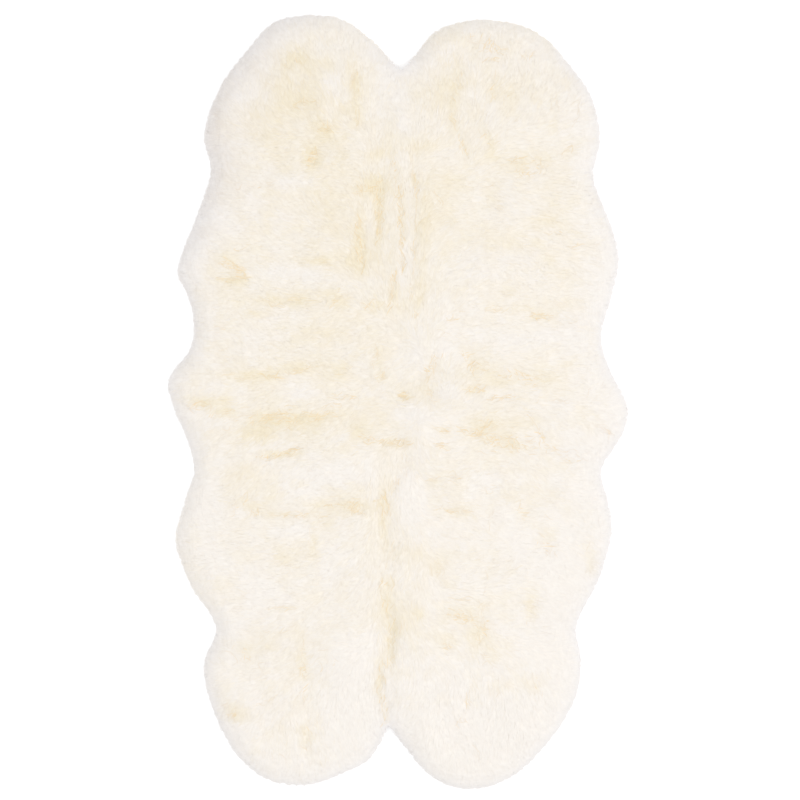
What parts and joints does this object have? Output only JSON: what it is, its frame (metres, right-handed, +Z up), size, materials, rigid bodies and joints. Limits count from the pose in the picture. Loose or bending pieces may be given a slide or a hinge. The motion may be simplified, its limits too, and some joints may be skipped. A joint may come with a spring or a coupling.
{
  "type": "sheepskin rug",
  "caption": "Large ivory sheepskin rug of pelts sewn edge to edge, rump to rump, lying flat, with deep wool and a scalloped rim.",
  "frame": {"origin": "on the floor under the middle of the rug's bounding box", "axes": "+X towards the right of the picture, +Y towards its upper end along the rug, +Z up out of the wool"},
  "size_m": [1.0712, 1.8028, 0.0537],
  "materials": {
    "wool_upper_left": "deep natural sheep's wool, cream",
    "wool_upper_right": "deep natural sheep's wool, ivory",
    "wool_lower_left": "deep natural sheep's wool, ivory",
    "wool_lower_right": "deep natural sheep's wool, pale ivory"
  },
  "bodies": {
    "root": {"pelt_upper_left": "wool_upper_left", "pelt_upper_right": "wool_upper_right", "pelt_lower_left": "wool_lower_left", "pelt_lower_right": "wool_lower_right"}
  },
  "joints": []
}
